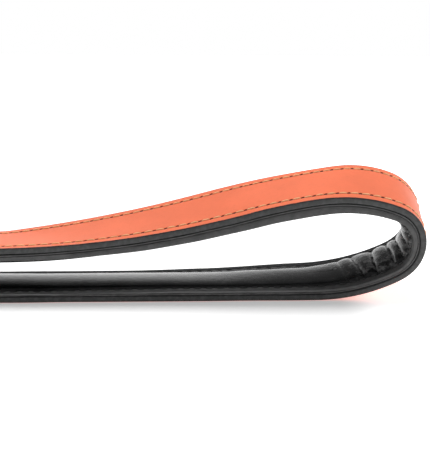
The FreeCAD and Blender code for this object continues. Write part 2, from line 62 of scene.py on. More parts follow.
# Left end of the hand loop, top of its joint, and how far from the left end the lining starts.
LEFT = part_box("handle_strap")[0].x
EXIT_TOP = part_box("joint_rivet_posts")[1].z
LINING_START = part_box("handle_lining")[0].x - LEFT

# Bends of the loop after its lower run: turn in degrees, radius in mm at the near and the far edge.
LOOP_BENDS = (
    (27.3, 65.5, 86.5),
    (131.3, 14.2, 17.2),
    (29.5, 56.6, 44.7),
    (7.1, 197.7, 390.2),
    (-7.7, 341.7, 546.8),
    (-6.5, 341.7, 60.0),
    (10.0, 90.0, 60.0),
)
CLOSING_TURNS = (10.0, -21.0)

# Values in mm along the loop, each given where a bend starts; a fraction is a share of the run before it.
# The far edge starts to rise off the table before the near edge does.
FAR_LIFT = (
    (0.0, 0.0), (0.78, 0.0), (0.85, 0.25), (0.94, 1.2), (1.0, 1.7), (1.6, 1.2), (2.4, 0.0), (10, 0.0),
)
# Thickness of the lining's edges: pressed thin where the strap lies on the table.
NEAR_EDGE = (
    (0.39, 0.40), (0.52, 0.06), (0.76, 0.85), (1.0, 0.90), (2, 1.10), (3, 2.00), (4, 2.80), (5, 2.50),
    (6, 2.00), (8, 1.30), (9, 0.90),
)
FAR_EDGE = (
    (0.39, 0.35), (0.52, 0.10), (0.70, 0.32), (0.80, 0.70), (1.0, 1.10), (2, 1.60), (3, 1.80),
    (8, 1.20), (9, 0.90),
)
# Height of the padding above those edges.
CROWN = (
    (0, 1.80), (0.50, 1.80), (0.56, 1.70), (0.69, 1.65), (0.80, 1.15), (0.95, 1.15), (2, 1.90),
    (3, 3.00), (8, 3.00), (9, 2.40),
)
# The padding reaches further from the middle towards the near edge than towards the far edge.
PAD_HALF = 8.6
PAD_HALF_FAR = ((0, 8.2), (0.70, 8.2), (0.85, 7.0), (1.0, 6.8), (1.5, 8.6), (10, 8.6))

# Folds of the lining inside the bend: distance between creases and height of a puff, in mm.
FOLD_SPACING = (5.2, 7.8)
FOLD_HEIGHT = 2.1
# Half length and half width of a stitch hole, in mm.
HOLE = (0.68, 0.50)
# Share of the pitch that a stitch covers, on the hand loop and on the flat strap.
LOOP_STITCH = 0.74
LEASH_STITCH = 0.80
# How far the middle of a stitch is pressed into the leather.
STITCH_SINK = 0.02 * MM
# The painted edge starts this far from the middle of the strap, in mm.
PAINT = (12.05, 12.22)
# Stitch counts over which the loop's lower run ends, and the bend starts and ends.
LOWER_RUN_END = (46, 56)
BEND_START, BEND_END = (53, 58), (72, 77)
# Directions along the strap's width and up, and upwards on the table.
SIDEWAYS, UPWARDS = (0.0, 1.0, 0.0), (0.0, 0.0, 1.0)


# ---- settings
def length(name, description, default):
    """A length property with its default in metres."""
    return FloatProperty(name=name, description=description, default=default, unit="LENGTH")


class LeashSizes(bpy.types.PropertyGroup):
    """Sizes a maker would change"""

    width: length("Strap width", "Width of the strap", 0.025)
    strap: length("Strap layer", "Thickness of the outer leather", 0.0022)
    backing: length("Middle layer", "Thickness of the middle leather", 0.0009)
    row: length("Stitch row", "Distance of a row from the middle of the strap", 0.0092)
    pitch_near: length("Near pitch", "Distance between holes of the near row", 0.0040)
    pitch_far: length("Far pitch", "Distance between holes of the far row", 0.00375)
    thread: length("Thread", "Thickness of the sewing thread", 0.00082)
    folds: IntProperty(name="Folds", description="Seed of the lining's folds", default=7)


def colour(name, description, default):
    """A colour property with its default."""
    return FloatVectorProperty(
        name=name, description=description, default=default, size=3, min=0, max=1, subtype="COLOR"
    )


class LeashColours(bpy.types.PropertyGroup):
    """Colours of the leathers, threads and metal"""

    orange: colour("Orange leather", "Face of the strap", (0.91, 0.202, 0.096))
    orange_deep: colour("Orange in grooves", "Face along the stitch rows", (0.70, 0.130, 0.052))
    hole: colour("Stitch holes", "Inside of the stitch holes", (0.09, 0.020, 0.012))
    edge_paint: colour("Edge paint", "Painted edges of the strap", (0.041, 0.042, 0.042))
    black: colour("Black leather", "Middle layer", (0.070, 0.070, 0.070))
    nappa: colour("Nappa", "Padded lining", (0.012, 0.012, 0.0125))
    thread_light: colour("Face thread", "Thread on the orange face", (1.00, 0.52, 0.27))
    thread_dark: colour("Lining thread", "Thread on the lining side", (0.05, 0.05, 0.05))
    metal: colour("Metal", "Nickel plate", (0.60, 0.59, 0.57))


# ---- shader graphs
class Wire:
    """A node's output that can be used in sums like a number."""

    def __init__(self, graph, socket):
        self.graph = graph
        self.socket = socket

    def math(self, operation, *others):
        """A Math node on this value and others."""
        return self.graph.add("ShaderNodeMath", {"operation": operation}, dict(enumerate((self, *others))))

    def __add__(self, other):
        return self.math("ADD", other)

    __radd__ = __add__

    def __mul__(self, other):
        return self.math("MULTIPLY", other)

    __rmul__ = __mul__

    def __sub__(self, other):
        return self.math("SUBTRACT", other)

    def __rsub__(self, other):
        return (self * -1) + other

    def __truediv__(self, other):
        return self.math("DIVIDE", other)


class Graph:
    """The nodes of a new material, or of the world."""

    def __init__(self, name, world=False):
        self.material = (bpy.data.worlds if world else bpy.data.materials).new(name)
        self.material.use_nodes = True
        self.tree = self.material.node_tree
        self.shader = self.tree.nodes["Background" if world else "Principled BSDF"]

    def add(self, kind, settings=None, values=None, output=0):
        """One node: its settings, then the values or links of its sockets."""
        node = self.tree.nodes.new(kind)
        for key, value in (settings or {}).items():
            setattr(node, key, value)
        for key, value in (values or {}).items():
            self.put(node.inputs[key], value)
        return Wire(self, node.outputs[output])

    def put(self, socket, value):
        """Links or sets one socket."""
        if isinstance(value, Wire):
            self.tree.links.new(value.socket, socket)
        else:
            socket.default_value = value

    def set(self, **values):
        """Sockets of the Principled shader, with _ for a space."""
        for key, value in values.items():
            self.put(self.shader.inputs[key.replace("_", " ")], value)

    def place(self):
        """Object coordinates."""
        return self.add("ShaderNodeTexCoord", output=3)

    def uv(self):
        """The two numbers of the piece's UV map."""
        both = self.add("ShaderNodeTexCoord", output=2)
        split = self.add("ShaderNodeSeparateXYZ", values={0: both})
        return split, Wire(self, split.socket.node.outputs[1])

    def noise(self, scale, detail=3.0, rough=0.5, vector=None, stretch=None):
        """Noise between 0 and 1; scale is in waves per metre."""
        vector = vector or self.place()
        if stretch:
            vector = self.add("ShaderNodeMapping", values={"Vector": vector, "Scale": stretch})
        values = {"Vector": vector, "Scale": scale, "Detail": detail, "Roughness": rough}
        return self.add("ShaderNodeTexNoise", values=values)

    def step(self, value, low, high):
        """0 below low and 1 above high, smooth between."""
        settings = {"interpolation_type": "SMOOTHSTEP"}
        return self.add("ShaderNodeMapRange", settings, {"Value": value, "From Min": low, "From Max": high})

    def mix(self, factor, first, second):
        """A colour between two colours."""
        pair = [(*c, 1.0) if not isinstance(c, Wire) else c for c in (first, second)]
        settings = {"data_type": "RGBA"}
        return self.add("ShaderNodeMix", settings, {0: factor, 6: pair[0], 7: pair[1]}, output=2)

    def tones(self, factor, colour, first, second):
        """A colour between two tones of itself."""
        return self.mix(factor, shade(colour, first), shade(colour, second))

    def bump(self, height, distance, strength=1.0, normal=None):
        """Relief of a height between 0 and 1, distance in metres."""
        values = {"Height": height, "Distance": distance, "Strength": strength}
        if normal:
            values["Normal"] = normal
        return self.add("ShaderNodeBump", values=values)


def shade(colour, factor):
    """A colour made lighter or darker."""
    return tuple(min(1.0, c * factor) for c in colour)


def strap_leather(colours, sizes):
    """Orange face leather with painted edges; the UV map holds stitch count and place across the strap."""
    g = Graph("orange_strap_leather")
    count, across = g.uv()
    side = across.math("ABSOLUTE")
    mottle = g.noise(55.0, 4.0, 0.55)
    fine = g.noise(900.0, 3.0, 0.6)
    pores = g.noise(2600.0, 2.0, 0.5)
    orange, groove = colours.orange, tuple(colours.orange_deep)
    face = g.tones(g.step(mottle, 0.3, 0.75), orange, 0.94, 1.05)
    face = g.mix(g.step(fine, 0.52, 0.72) * 0.22, face, shade(orange, 0.80))
    off_row = (side - sizes.row).math("ABSOLUTE")
    pressed = 1 - g.step(off_row, 0.2 * MM, 1.0 * MM)
    face = g.mix(pressed * 0.30, face, groove)
    wear = g.step(side, 10.9 * MM, 12.2 * MM)
    face = g.mix(wear * 0.35, face, groove)
    to_hole = 0.5 - (count.math("FRACT") - 0.5).math("ABSOLUTE")
    hole_along = to_hole * (sizes.pitch_near / (HOLE[0] * MM))
    hole_across = off_row / (HOLE[1] * MM)
    hole = 1 - g.step(hole_along * hole_along + hole_across * hole_across, 0.7, 1.3)
    face = g.mix(hole * 0.95, face, tuple(colours.hole))
    ragged = g.noise(330.0, 3.0, 0.6)
    border = side + (ragged - 0.5) * (0.5 * MM)
    painted = g.step(border, PAINT[0] * MM, PAINT[1] * MM)
    flecks = g.step(g.noise(700.0), 0.4, 0.7)
    paint = g.tones(flecks, colours.edge_paint, 0.8, 1.35)
    g.set(Base_Color=g.mix(painted, face, paint), Roughness=0.46 + fine * 0.10)
    grain = fine * 0.5 + pores * 0.5
    relief = g.bump(grain, 0.00006, 0.55)
    g.set(Normal=g.bump(1 - hole, 0.00035, 0.9, relief), Specular_IOR_Level=0.48)
    return g.material


def black_leather(colours, sizes):
    """Matt black leather with fibrous cut edges and dark lines above and below: glue joints, darkened as
    painted shade of the grooves between the layers.
    """
    g = Graph("black_middle_leather")
    count, across = g.uv()
    depth = across.math("ABSOLUTE") - sizes.width / 2
    lower = 1 - g.step(count, *LOWER_RUN_END)
    # The dark lines at both ends of the edge are glue joints, darkened further as painted shade of the
    # grooves between the layers; on the lower run the outer one is mostly left out.
    outer_line = (1 - g.step(depth, 0.02 * MM, 0.22 * MM)) * (1 - lower * 0.8)
    inner_line = g.step(depth, sizes.backing - 0.5 * MM, sizes.backing - 0.2 * MM)
    glue_and_groove_shade = outer_line.math("MAXIMUM", inner_line)
    fibres = g.noise(1500.0, 4.0, 0.65, stretch=(0.25, 1.0, 1.0))
    patches = g.noise(160.0, 3.0)
    fibrous = g.step(fibres * 0.6 + patches * 0.4, 0.35, 0.68)
    base = g.tones(fibrous, colours.black, 0.65, 1.6)
    g.set(Base_Color=g.mix(glue_and_groove_shade, base, shade(colours.black, 0.07)))
    g.set(Roughness=0.55 + fibres * 0.15, Normal=g.bump(fibres, 0.00012, 0.8))
    return g.material


def nappa_leather(colours):
    """Soft black nappa with a fine pebbled grain and painted glints on the ridges of its folds."""
    g = Graph("black_nappa_leather")
    values = {"Vector": g.place(), "Scale": 1500.0}
    cells = g.add("ShaderNodeTexVoronoi", {"feature": "DISTANCE_TO_EDGE"}, values)
    pebble = g.step(cells, 0.0, 0.35)
    creases = g.noise(420.0, 5.0, 0.62)
    cloudy = g.noise(60.0, 2.0)
    base = g.tones(g.step(cloudy, 0.35, 0.7), colours.nappa, 0.8, 1.25)
    count, across = g.uv()
    gathered = g.step(count, *BEND_START) * (1 - g.step(count, *BEND_END))
    edge = g.step(across.math("ABSOLUTE"), 8.8 * MM, 9.2 * MM)
    near = 1 - g.step(across, -1.0 * MM, 1.0 * MM)
    base = g.mix((1 - pebble) * 0.5, base, shade(colours.nappa, 0.5))
    # Light specks on the near side of the folds in the bend are painted glints.
    painted_glints = g.step(creases, 0.46, 0.62) * gathered * near
    base = g.mix(painted_glints * 0.8, base, shade(colours.black, 2.6))
    lower = 1 - g.step(count, *LOWER_RUN_END)
    # The near edge is rubbed grey leather with a painted highlight along its seam, made lighter on the
    # lower run as painted light.
    worn_and_highlit_edge = g.tones(creases, colours.black, 0.55, 1.75)
    worn_and_highlit_edge = g.mix(lower * 0.45, worn_and_highlit_edge, shade(colours.black, 3.5))
    # The far edge is darkened as painted shade under the crown.
    border = g.mix(near, shade(colours.nappa, 0.7), worn_and_highlit_edge)
    g.set(Base_Color=g.mix(edge, base, border), Roughness=0.16 + creases * 0.10 + edge * 0.50)
    relief = g.bump(creases * (gathered * 2.5 + 1), 0.00018, 0.35)
    g.set(Normal=g.bump(pebble, 0.00004, 0.25, relief), Specular_IOR_Level=0.50)
    return g.material


def sewing_thread(name, tone):
    """Waxed twisted thread; the UV map runs along and round each stitch."""
    g = Graph(name)
    along, around = g.uv()
    turns = (along * 5.0 + around * 2.0) * (2 * math.pi)
    twist = turns.math("SINE") * 0.5 + 0.5
    spots = g.noise(240.0, 2.0)
    light = g.tones(g.step(spots, 0.35, 0.7), tone, 0.9, 1.1)
    # The thread is darkened along the valleys of its twist as painted shade.
    g.set(Base_Color=g.mix((1 - twist) * 0.15, light, shade(tone, 0.7)))
    g.set(Roughness=0.6 + spots * 0.1, Normal=g.bump(twist, 0.00006, 0.4))
    return g.material


def plated_metal(colours, name="nickel_plate", tone=1.0):
    """Cast and plated metal, slightly brushed, with dull spots."""
    g = Graph(name)
    brush = g.noise(900.0, 3.0, 0.6, stretch=(0.15, 1.0, 1.0))
    dull = g.noise(120.0, 3.0)
    base = g.tones(g.step(dull, 0.35, 0.75), colours.metal, 1.08 * tone, 0.85 * tone)
    g.set(Base_Color=base, Metallic=1.0, Roughness=0.20 + dull * 0.14 + brush * 0.06)
    g.set(Normal=g.bump(brush, 0.00002, 0.5))
    return g.material


def foam_filler():
    """Dark closed-cell foam."""
    g = Graph("foam_filler")
    cells = g.add("ShaderNodeTexVoronoi", None, {"Vector": g.place(), "Scale": 1400.0})
    g.set(Base_Color=g.mix(cells, (0.03, 0.03, 0.03), (0.08, 0.08, 0.08)), Roughness=0.9)
    g.set(Normal=g.bump(cells, 0.0001, 0.6))
    return g.material


# ---- mesh tools
def deselect():
    """Leaves nothing selected."""
    if bpy.context.object and bpy.context.object.mode != "OBJECT":
        bpy.ops.object.mode_set(mode="OBJECT")
    bpy.ops.object.select_all(action="DESELECT")


def unit(vectors):
    """The vectors of an array with length 1."""
    return vectors / np.linalg.norm(vectors, axis=1)[:, None]


def finish(piece, material):
    """Gives a piece one material."""
    piece.data.materials.clear()
    piece.data.materials.append(material)


def map_corners(mesh, layer, uv_of):
    """Writes a UV layer from a function of the corners' point numbers."""
    corners = np.zeros(len(mesh.loops), int)
    mesh.loops.foreach_get("vertex_index", corners)
    layer.data.foreach_set("uv", uv_of(corners).ravel())


def face_outwards():
    """Turns all faces of the piece in edit mode outwards and leaves the mode."""
    bpy.ops.mesh.select_all(action="SELECT")
    bpy.ops.mesh.normals_make_consistent(inside=False)
    bpy.ops.object.mode_set(mode="OBJECT")


def skin(name, rows, uvs, material, end_v=0.02):
    """A closed skin: a grid is bent through rows of points, sewn up along its length and capped."""
    count, around = rows.shape[:2]
    deselect()
    bpy.ops.mesh.primitive_grid_add(x_subdivisions=count - 1, y_subdivisions=around - 1, size=2)
    piece = bpy.context.object
    piece.name = name
    piece.data.name = name
    mesh = piece.data
    flat = np.zeros(len(mesh.vertices) * 3)
    mesh.vertices.foreach_get("co", flat)
    flat = flat.reshape(-1, 3)
    if len(flat) != count * around:
        raise RuntimeError(f"{name}: the grid has {len(flat)} points and needs {count * around}")
    i = np.rint((flat[:, 0] + 1) / 2 * (count - 1)).astype(int)
    j = np.rint((flat[:, 1] + 1) / 2 * (around - 1)).astype(int)
    mesh.vertices.foreach_set("co", rows[i, j].ravel())
    layer = mesh.uv_layers.active or mesh.uv_layers.new(name="UVMap")
    map_corners(mesh, layer, lambda corners: uvs[i[corners], j[corners]])
    bpy.ops.object.mode_set(mode="EDIT")
    bpy.ops.mesh.select_mode(type="VERT")
    bpy.ops.mesh.select_all(action="SELECT")
    bpy.ops.mesh.remove_doubles(threshold=1e-7)
    bpy.ops.mesh.select_all(action="DESELECT")
    bpy.ops.mesh.select_non_manifold()
    bpy.ops.mesh.fill_holes(sides=0)
    face_outwards()
    for face in mesh.polygons:
        if len(face.vertices) > 4:
            for corner in face.loop_indices:
                mesh.uv_layers.active.data[corner].uv = (0.25, end_v)
    bpy.ops.object.shade_smooth_by_angle(angle=math.radians(50))
    finish(piece, material)
    return piece


def waves(seed, count, shortest, longest):
    """A smooth random function of length, about -1 to 1, with waves between two lengths."""
    rng = np.random.default_rng(seed)
    lengths = rng.uniform(shortest, longest, count)
    phases = rng.uniform(0, 2 * math.pi, count)

    def value(at):
        total = sum(np.sin(2 * math.pi * at / w + p) for w, p in zip(lengths, phases))
        return total / math.sqrt(count)

    return value


def ease(share):
    """0 below 0, 1 above 1 and smooth between."""
    share = np.clip(share, 0, 1)
    return share**2 * (3 - 2 * share)


def smooth_along(values, reach):
    """Values along the last axis, averaged over a bell of reach samples; the ends stay."""
    span = int(3 * reach)
    bell = np.exp(-0.5 * (np.arange(-span, span + 1) / reach) ** 2)
    bell /= bell.sum()
    start = 2 * values[..., :1] - values[..., span:0:-1]
    finish = 2 * values[..., -1:] - values[..., -2:-span - 2:-1]
    padded = np.concatenate([start, values, finish], axis=-1)
    return np.apply_along_axis(lambda line: np.convolve(line, bell, mode="valid"), -1, padded)


# ---- the loop's path
def inward(heading):
    """From the strap's outer face towards the inside of the loop, in X and Z."""
    return np.array([-np.sin(heading), np.cos(heading)])


def arc_step(heading, turn):
    """How far an arc of radius 1 moves along X and Z."""
    return math.copysign(1.0, turn) * (inward(heading) - inward(heading + turn))


class Loop:
    """The hand loop's path, sampled at even steps from its sewn end round the bend and back."""

    # Length of the lower run at the near and the far edge, and of the closed joint.
    LOWER_RUN = (203.5 * MM, 196.9 * MM)
    JOINT = 35.0 * MM

    def __init__(self, step):
        sides = [self.segments(share) for share in (0.0, 0.5, 1.0)]
        middle = np.array([self.length(s) for s in sides[1]])
        self.ends = np.concatenate([[0], np.cumsum(middle)])
        self.count = int(self.ends[-1] / step) + 1
        self.at = np.linspace(0, self.ends[-1], self.count)
        self.step = self.at[1]

    @staticmethod
    def length(segment):
        """Length of a straight run or an arc."""
        turn, radius = segment
        return radius if turn is None else radius * abs(turn)

    def segments(self, share):
        """Straight runs as (None, length) and arcs as (turn, radius), at a share of the width."""
        near, far = self.LOWER_RUN
        parts = [(None, near + (far - near) * share)]
        for turn, a, b in LOOP_BENDS:
            parts.append((math.radians(turn), (a + (b - a) * share) * MM))
        place, heading = np.zeros(2), 0.0
        for turn, radius in parts:
            if turn is None:
                place = place + np.array([radius, 0.0])
            else:
                place = place + radius * arc_step(heading, turn)
                heading += turn
        first, second = (math.radians(t) for t in CLOSING_TURNS)
        steps = np.array([arc_step(heading, first), arc_step(heading + first, second)]).T
        radii = np.linalg.solve(steps, np.array([self.JOINT, EXIT_TOP]) - place)
        return parts + [(first, radii[0]), (second, radii[1]), (None, self.JOINT)]

    def line(self, share):
        """x, z, heading and length so far at every station, at a share of the width."""
        parts = self.segments(share)
        out = np.zeros((4, self.count))
        place, heading, run = np.array([LEFT, 0.0]), 0.0, 0.0
        for k, (turn, radius) in enumerate(parts):
            begin, end = self.ends[k], self.ends[k + 1]
            last = k == len(parts) - 1
            inside = (self.at >= begin) & ((self.at <= end) if last else (self.at < end))
            f = (self.at[inside] - begin) / (end - begin)
            reach = self.length((turn, radius))
            out[3, inside] = run + reach * f
            if turn is None:
                way = np.array([math.cos(heading), math.sin(heading)])
                out[:2, inside] = place[:, None] + way[:, None] * radius * f
                out[2, inside] = heading
                place = place + way * radius
            else:
                now = heading + turn * f
                bow = radius * math.copysign(1.0, turn)
                out[0, inside] = place[0] + bow * (np.sin(now) - math.sin(heading))
                out[1, inside] = place[1] + bow * (math.cos(heading) - np.cos(now))
                out[2, inside] = now
                place = place + radius * arc_step(heading, turn)
                heading += turn
            run += reach
        lift = share * self.along(FAR_LIFT)(self.at)
        out[:2] += lift * inward(out[2])
        return smooth_along(out, 2.2 * MM / self.step)

    def along(self, stops):
        """A value in metres along the loop, from stops of (bend number, value in mm)."""
        numbers, values = zip(*stops)
        places = np.interp(numbers, range(len(self.ends)), self.ends)
        return lambda at: np.interp(at, places, np.array(values) * MM)

    def bend(self, number):
        """Where bend number starts and ends, along the middle of the strap."""
        return self.ends[number], self.ends[number + 1]


def loop_rows(loop, profile, start=0.0, end=None, move=None, drift=None):
    """Points and UVs of a layer's skin. profile holds (y, depth, v); move adds to depth, drift to y."""
    end = loop.ends[-1] if end is None else end
    keep = (loop.at >= start) & (loop.at <= end)
    at = loop.at[keep]
    rows = np.zeros((len(at), len(profile), 3))
    uvs = np.zeros((len(at), len(profile), 2))
    sizes = bpy.context.scene.leash_sizes
    for k, (y, depth, v) in enumerate(profile):
        x, z, heading, run = (part[keep] for part in loop.line(y / sizes.width + 0.5))
        sunk = depth + (move(at, y, v) if move else 0.0)
        rows[:, k, 0] = x - sunk * np.sin(heading)
        rows[:, k, 1] = y + (drift(at, y) if drift else 0.0)
        rows[:, k, 2] = z + sunk * np.cos(heading)
        uvs[:, k, 0] = run / (sizes.pitch_near if y < 0 else sizes.pitch_far)
        uvs[:, k, 1] = v
    return rows, uvs


def both_ways(places, scale):
    """Places across the strap from one edge over the middle to the other."""
    return [-p * scale for p in places] + [0.0] + [p * scale for p in places[::-1]]


def band_profile(half, top, bottom, rounding, inside_points, relief=None):
    """Closed section of a strap layer as (y, depth, v), starting and ending on its outer face.

    v runs across the outer face and on round the edges, so it is past half on edges and inside.
    """
    ys = np.array(inside_points)
    relief = relief or (lambda y: 0.0)
    outer = [(y, top + relief(y), y) for y in ys if abs(y) < half - rounding]
    corners = [math.radians(a) for a in (15, 40, 65, 90)]
    depth = bottom - top

    def edge(side):
        points = []
        for a in corners:
            y = half - rounding + rounding * math.sin(a)
            d = top + rounding - rounding * math.cos(a)
            points.append((side * y, d, side * (half - rounding + rounding * a)))
        for share in (0.33, 0.66):
            d = top + rounding + share * (depth - 2 * rounding)
            points.append((side * half, d, side * (half + d - top)))
        for a in corners[::-1]:
            y = half - rounding + rounding * math.sin(a)
            d = bottom - rounding + rounding * math.cos(a)
            points.append((side * y, d, side * (half + d - top)))
        return points

    inside = [y for y in ys[::-1] if abs(y) < half - rounding]
    inner = [(y, bottom, half + depth) for y in inside if y >= 0]
    inner += [(y, bottom, -half - depth) for y in inside if y <= 0]
    section = outer + edge(1.0) + inner + edge(-1.0)[::-1]
    return section + section[:1]


def face_points(half):
    """Places across the strap's face, closer together along its edges and stitch rows, in metres."""
    one_side = [11.9, 11.2, 10.4, 9.9, 9.6, 9.4, 9.2, 9.0, 8.8, 8.5, 8.0, 7.0, 5.0, 2.5]
    return both_ways(one_side, half / 12.5)


def row_groove(sizes, depth):
    """Relief of the strap's face: sunk along both stitch rows and a little towards the edges."""

    def relief(y):
        off = (abs(y) - sizes.row) / (0.45 * MM)
        rim = max(0.0, abs(y) - 10.5 * MM) / (2.0 * MM)
        return depth * math.exp(-off * off) + 0.22 * MM * rim * rim

    return relief


def wandering(seed, amount):
    """Drift of both edges of a layer, so that no edge is dead straight."""
    near, far = waves(seed, 5, 0.018, 0.07), waves(seed + 1, 5, 0.018, 0.07)

    def drift(at, y):
        part = np.clip((abs(y) - 9.5 * MM) / (3.0 * MM), 0, 1)
        return amount * part * (near(at) if y < 0 else far(at))

    return drift


# ---- stitches
def one_stitch(length, width, height):
    """Points, faces and UVs of one stitch: a ball drawn out into a thread that dips at its ends."""
    deselect()
    bpy.ops.mesh.primitive_uv_sphere_add(segments=8, ring_count=8, radius=1.0)
    ball = bpy.context.object
    co = np.array([v.co for v in ball.data.vertices])
    faces = [tuple(p.vertices) for p in ball.data.polygons]
    bpy.data.objects.remove(ball)
    along, side, up = co[:, 2], co[:, 0], co[:, 1]
    thick = np.sqrt(np.maximum(1 - along**2, 1e-9))
    full = (1 - np.abs(along) ** 4) ** 0.5
    points = np.stack([along, side / thick * full, up / thick * full], axis=1)
    points[np.abs(along) > 0.999, 1:] = 0.0
    points[:, 2] -= 0.55 * np.abs(along) ** 3
    uv = np.stack([along * 0.5 + 0.5, np.arctan2(up, side) / (2 * math.pi) + 0.5], axis=1)
    return points * np.array([length / 2, width / 2, height / 2]), faces, uv


def stitch_row(name, places, shape, material, slant=0.0):
    """Copies of one stitch. places holds (middle, direction, outward normal) arrays."""
    points, faces, uv = one_stitch(*shape)
    middle, ahead, outward = (np.asarray(part) for part in places)
    across = unit(np.cross(outward, ahead))
    ahead = np.cross(across, outward)
    turned = ahead * math.cos(slant) + across * math.sin(slant)
    across = np.cross(outward, turned)
    all_points = (
        middle[:, None]
        + points[None, :, :1] * turned[:, None]
        + points[None, :, 1:2] * across[:, None]
        + points[None, :, 2:] * outward[:, None]
    ).reshape(-1, 3)
    all_points[:, 2] = np.maximum(all_points[:, 2], 0.0)
    all_faces = [tuple(v + k * len(points) for v in face) for k in range(len(middle)) for face in faces]
    mesh = bpy.data.meshes.new(name)
    mesh.from_pydata(all_points.tolist(), [], all_faces)
    map_corners(mesh, mesh.uv_layers.new(name="UVMap"), lambda corners: uv[corners % len(points)])
    piece = bpy.data.objects.new(name, mesh)
    bpy.context.scene.collection.objects.link(piece)
    finish(piece, material)
    deselect()
    piece.select_set(True)
    bpy.context.view_layer.objects.active = piece
    bpy.ops.object.mode_set(mode="EDIT")
    face_outwards()
    bpy.ops.object.shade_smooth()
    return piece


def loop_stitches(loop, y, depth, pitch, start, end, sink):
    """Middles, directions and outward normals of stitches along the loop at one place of its width.

    depth is a function of place. A positive sink presses the thread into the outer face, a negative
    one into the lining's face.
    """
    width = bpy.context.scene.leash_sizes.width
    x, z, heading, run = loop.line(y / width + 0.5)
    near, far = loop.line(y / width + 0.46), loop.line(y / width + 0.54)
    inside = (loop.at >= start) & (loop.at <= end)
    first, last = run[inside][0], run[inside][-1]
    numbers = np.arange(math.ceil(first / pitch), math.floor(last / pitch)) + 0.5
    at = numbers * pitch

    def value(part):
        return np.interp(at, run, part)

    head = value(heading)
    point = np.stack([value(x), np.full(len(at), y), value(z)], axis=1)
    ahead = np.stack([np.cos(head), np.zeros(len(at)), np.sin(head)], axis=1)
    spread = np.full(len(at), 0.08 * width)
    tilt = np.stack([value(far[0] - near[0]), spread, value(far[1] - near[1])], axis=1)
    outward = unit(np.cross(tilt, ahead)) * math.copysign(1.0, sink)
    inner = np.stack([-np.sin(head), np.zeros(len(at)), np.cos(head)], axis=1)
    point = point + inner * depth(value(loop.at))[:, None]
    return point - outward * abs(sink), ahead, outward


# ---- pieces of the loop
def settings():
    """Sizes and colours as they stand."""
    scene = bpy.context.scene
    return scene.leash_sizes, scene.leash_colours


def on_leash(piece, slot, *nodes):
    """Fixes a piece to the leash and hides the nodes it stands for; slot, the name of its finish, is not
    used.
    """
    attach(piece, "leash")
    if nodes:
        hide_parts(*nodes)
    return piece


class LEASH_OT_outer_strap(bpy.types.Operator):
    """Orange outer strap of the hand loop, with painted edges and pressed stitch rows"""

    bl_idname = "leash.outer_strap"
    bl_label = "Outer strap"

    def execute(self, context):
        sizes, colours = settings()
        loop = Loop(0.9 * MM)
        half = sizes.width / 2
        grooves = row_groove(sizes, 0.22 * MM)
        profile = band_profile(half, 0.0, sizes.strap, 0.45 * MM, face_points(half), grooves)
        rows, uvs = loop_rows(loop, profile, drift=wandering(3, 0.10 * MM))
        piece = skin("outer_strap", rows, uvs, strap_leather(colours, sizes))
        on_leash(piece, "orange_leather", "handle_strap")
        return {"FINISHED"}


class LEASH_OT_middle_layer(bpy.types.Operator):
    """Black middle layer between the strap and the lining"""

    bl_idname = "leash.middle_layer"
    bl_label = "Middle layer"

    def execute(self, context):
        sizes, colours = settings()
        loop = Loop(1.2 * MM)
        half = sizes.width / 2 - 0.20 * MM
        inner = sizes.strap + sizes.backing
        profile = band_profile(half, sizes.strap, inner, 0.3 * MM, face_points(half))
        rows, uvs = loop_rows(loop, profile, drift=wandering(11, 0.14 * MM))
        piece = skin("middle_layer", rows, uvs, black_leather(colours, sizes))
        on_leash(piece, "black_leather", "handle_backing")
        return {"FINISHED"}


def pad_edge(loop, at, y):
    """How far the padding reaches from the middle on the side of y."""
    return PAD_HALF * MM if y < 0 else loop.along(PAD_HALF_FAR)(at)


def pad_share(loop, at, y):
    """Place across the padding: 0 in the middle, -1 and 1 where it ends near and far."""
    return np.clip(y / pad_edge(loop, at, y), -1, 1)


def crown_height(share):
    """Height of the padding at a share of its half width, 1 in the middle and 0 at its seams."""
    return np.maximum(0.0, 1 - np.abs(share) ** 2.1) ** 0.5


def lining_folds(loop, sizes):
    """How far the lining is puffed out or drawn in, at a place along and across it."""
    rng = np.random.default_rng(sizes.folds)
    wide_bend, tight_bend = loop.bend(1), loop.bend(2)
    first = wide_bend[0] + 0.25 * (wide_bend[1] - wide_bend[0])
    last = tight_bend[1] + 10 * MM
    creases = []
    place = first - 6 * MM
    while place < last + 6 * MM:
        creases.append((place, rng.uniform(-0.10, 0.10), rng.uniform(-8, 8), rng.uniform(0.55, 1.0)))
        place += rng.uniform(*FOLD_SPACING) * MM
    long_waves = waves(sizes.folds + 1, 4, 0.022, 0.06)
    side_waves = waves(sizes.folds + 2, 5, 0.006, 0.016)
    depths = np.array([crease[3] for crease in creases])

    def relief(at, y):
        share = pad_share(loop, at, y)
        body = crown_height(share)
        lines = np.array([middle + slant * y + bow * y * y for middle, slant, bow, _ in creases])
        lines = np.maximum.accumulate(lines)
        gap = np.clip(np.searchsorted(lines, at) - 1, 0, len(lines) - 2)
        across = np.clip((at - lines[gap]) / (lines[gap + 1] - lines[gap]), 0, 1)
        puff = (4 * across * (1 - across)) ** 0.5
        depth = depths[gap] * (1 - across) + depths[gap + 1] * across
        squeezed = ease((at - first) / (16 * MM)) * ease((last - at) / (16 * MM))
        by_seam = np.exp(-(((abs(share) - 0.93) / 0.12) ** 2))
        total = FOLD_HEIGHT * MM * squeezed * depth * (puff - 0.66) * body**0.45
        total += 0.08 * MM * long_waves(at + 0.4 * y) * body
        total += 0.10 * MM * side_waves(at) * by_seam * (0.4 + squeezed)
        return total

    return relief


